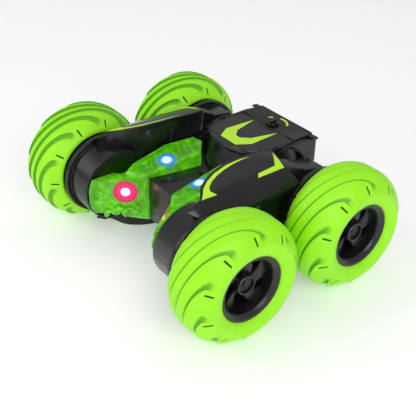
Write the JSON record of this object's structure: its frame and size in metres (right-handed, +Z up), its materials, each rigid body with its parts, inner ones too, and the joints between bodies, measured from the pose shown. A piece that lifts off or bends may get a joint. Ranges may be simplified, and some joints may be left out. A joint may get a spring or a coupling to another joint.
{
  "type": "radio-controlled stunt car",
  "caption": "Double-sided remote control stunt car: centre body with lamps between two swinging geared wheel arms on fat treaded tyres.",
  "frame": {"origin": "on the ground under the centre of the car, midway between the axles and the sides", "axes": "+Z up, -X forward towards the lamps, +X to the battery end, -Y the car's left side, wheels turn about Y"},
  "size_m": [0.166, 0.2024, 0.08],
  "materials": {
    "tyre_rubber": "matte lime green rubber",
    "black_plastic": "satin",
    "wheel_plastic": "satin gloss",
    "clear_green": "glossy translucent plastic",
    "smoked_green": "glossy translucent plastic",
    "gear_plastic": "moulded acetal",
    "steel": "satin",
    "brass": "turned",
    "motor_steel": "satin",
    "board": "solder mask",
    "cell_wrap": "shrink wrap",
    "cyan_light": "lit",
    "red_light": "lit"
  },
  "bodies": {
    "body": {"battery_pack": "cell_wrap", "body_screws": "steel", "bottom_lamps": "clear_green", "core_lower_shell": "black_plastic", "core_upper_shell": "black_plastic", "cyan_leds": "cyan_light", "front_lamps": "clear_green", "light_boards": "board", "main_board": "board", "nose_cap": "black_plastic", "pivot_clips": "steel", "pivot_shaft": "steel", "power_switch": "black_plastic", "rear_lower_shell": "black_plastic", "rear_upper_shell": "black_plastic", "red_leds": "red_light", "top_lamps": "clear_green"},
    "arm_left": {"arm_left_upper_shell": "black_plastic", "arm_left_lower_shell": "black_plastic", "arm_left_gearbox_case": "smoked_green", "arm_left_gearbox_cover": "smoked_green", "arm_left_motor": "motor_steel", "arm_left_gear_pins": "steel", "arm_left_bushes": "brass"},
    "wheel_front_left": {"tyre_front_left": "tyre_rubber", "rim_front_left": "wheel_plastic", "hub_shaft_front_left": "gear_plastic", "wheel_screw_front_left": "steel"},
    "wheel_rear_left": {"tyre_rear_left": "tyre_rubber", "rim_rear_left": "wheel_plastic", "hub_shaft_rear_left": "gear_plastic", "wheel_screw_rear_left": "steel"},
    "idler_front_left": {"arm_left_idler_front": "gear_plastic"},
    "centre_gear_left": {"arm_left_centre_gear": "gear_plastic"},
    "idler_rear_left": {"arm_left_idler_rear": "gear_plastic"},
    "reduction_gear_left": {"arm_left_reduction_gear": "gear_plastic"},
    "motor_pinion_left": {"arm_left_motor_pinion": "brass"},
    "arm_right": {"arm_right_upper_shell": "black_plastic", "arm_right_lower_shell": "black_plastic", "arm_right_gearbox_case": "smoked_green", "arm_right_gearbox_cover": "smoked_green", "arm_right_motor": "motor_steel", "arm_right_gear_pins": "steel", "arm_right_bushes": "brass"},
    "wheel_front_right": {"tyre_front_right": "tyre_rubber", "rim_front_right": "wheel_plastic", "hub_shaft_front_right": "gear_plastic", "wheel_screw_front_right": "steel"},
    "wheel_rear_right": {"tyre_rear_right": "tyre_rubber", "rim_rear_right": "wheel_plastic", "hub_shaft_rear_right": "gear_plastic", "wheel_screw_rear_right": "steel"},
    "idler_front_right": {"arm_right_idler_front": "gear_plastic"},
    "centre_gear_right": {"arm_right_centre_gear": "gear_plastic"},
    "idler_rear_right": {"arm_right_idler_rear": "gear_plastic"},
    "reduction_gear_right": {"arm_right_reduction_gear": "gear_plastic"},
    "motor_pinion_right": {"arm_right_motor_pinion": "brass"},
    "battery_door": {"battery_door": "black_plastic"},
    "power_knob": {"power_knob": "black_plastic"}
  },
  "joints": [
    {"name": "arm_left_swing", "type": "hinge", "parent": "body", "child": "arm_left", "pos_m": [0, -0.0385, 0.04], "axis": [0, 1, 0], "range_deg": [-90, 90]},
    {"name": "wheel_front_left_spin", "type": "hinge", "parent": "arm_left", "child": "wheel_front_left", "pos_m": [-0.043, -0.0817, 0.04], "axis": [0, 1, 0], "continuous": true},
    {"name": "wheel_rear_left_spin", "type": "hinge", "parent": "arm_left", "child": "wheel_rear_left", "pos_m": [0.043, -0.0817, 0.04], "axis": [0, 1, 0], "continuous": true},
    {"name": "idler_front_left_spin", "type": "hinge", "parent": "arm_left", "child": "idler_front_left", "pos_m": [-0.021, -0.046, 0.04], "axis": [0, 1, 0], "continuous": true},
    {"name": "centre_gear_left_spin", "type": "hinge", "parent": "arm_left", "child": "centre_gear_left", "pos_m": [0, -0.046, 0.04], "axis": [0, 1, 0], "continuous": true},
    {"name": "idler_rear_left_spin", "type": "hinge", "parent": "arm_left", "child": "idler_rear_left", "pos_m": [0.021, -0.046, 0.04], "axis": [0, 1, 0], "continuous": true},
    {"name": "reduction_gear_left_spin", "type": "hinge", "parent": "arm_left", "child": "reduction_gear_left", "pos_m": [0.0078, -0.046, 0.05622], "axis": [0, 1, 0], "continuous": true},
    {"name": "motor_pinion_left_spin", "type": "hinge", "parent": "arm_left", "child": "motor_pinion_left", "pos_m": [-0.00574, -0.046, 0.0589], "axis": [0, 1, 0], "continuous": true},
    {"name": "arm_right_swing", "type": "hinge", "parent": "body", "child": "arm_right", "pos_m": [0, 0.0385, 0.04], "axis": [0, 1, 0], "range_deg": [-90, 90]},
    {"name": "wheel_front_right_spin", "type": "hinge", "parent": "arm_right", "child": "wheel_front_right", "pos_m": [-0.043, 0.0817, 0.04], "axis": [0, 1, 0], "continuous": true},
    {"name": "wheel_rear_right_spin", "type": "hinge", "parent": "arm_right", "child": "wheel_rear_right", "pos_m": [0.043, 0.0817, 0.04], "axis": [0, 1, 0], "continuous": true},
    {"name": "idler_front_right_spin", "type": "hinge", "parent": "arm_right", "child": "idler_front_right", "pos_m": [-0.021, 0.046, 0.04], "axis": [0, 1, 0], "continuous": true},
    {"name": "centre_gear_right_spin", "type": "hinge", "parent": "arm_right", "child": "centre_gear_right", "pos_m": [0, 0.046, 0.04], "axis": [0, 1, 0], "continuous": true},
    {"name": "idler_rear_right_spin", "type": "hinge", "parent": "arm_right", "child": "idler_rear_right", "pos_m": [0.021, 0.046, 0.04], "axis": [0, 1, 0], "continuous": true},
    {"name": "reduction_gear_right_spin", "type": "hinge", "parent": "arm_right", "child": "reduction_gear_right", "pos_m": [0.0078, 0.046, 0.05622], "axis": [0, 1, 0], "continuous": true},
    {"name": "motor_pinion_right_spin", "type": "hinge", "parent": "arm_right", "child": "motor_pinion_right", "pos_m": [-0.00574, 0.046, 0.0589], "axis": [0, 1, 0], "continuous": true},
    {"name": "battery_door_hinge", "type": "hinge", "parent": "body", "child": "battery_door", "pos_m": [0.0149, 0, 0.0698], "axis": [0, -1, 0], "range_deg": [0, 90]},
    {"name": "power_knob_turn", "type": "hinge", "parent": "body", "child": "power_knob", "pos_m": [0.056, 0, 0.0713], "axis": [0, 0, 1], "range_deg": [0, 60]}
  ],
  "couplings": [
    {"joint": "idler_front_left_spin", "follows": "wheel_front_left_spin", "ratio": -1.4444},
    {"joint": "centre_gear_left_spin", "follows": "wheel_front_left_spin", "ratio": 1.0833},
    {"joint": "idler_rear_left_spin", "follows": "wheel_front_left_spin", "ratio": -1.4444},
    {"joint": "reduction_gear_left_spin", "follows": "wheel_front_left_spin", "ratio": -2.1667},
    {"joint": "motor_pinion_left_spin", "follows": "wheel_front_left_spin", "ratio": 7.8},
    {"joint": "wheel_rear_left_spin", "follows": "wheel_front_left_spin", "ratio": 1},
    {"joint": "idler_front_right_spin", "follows": "wheel_front_right_spin", "ratio": -1.4444},
    {"joint": "centre_gear_right_spin", "follows": "wheel_front_right_spin", "ratio": 1.0833},
    {"joint": "idler_rear_right_spin", "follows": "wheel_front_right_spin", "ratio": -1.4444},
    {"joint": "reduction_gear_right_spin", "follows": "wheel_front_right_spin", "ratio": -2.1667},
    {"joint": "motor_pinion_right_spin", "follows": "wheel_front_right_spin", "ratio": 7.8},
    {"joint": "wheel_rear_right_spin", "follows": "wheel_front_right_spin", "ratio": 1}
  ]
}
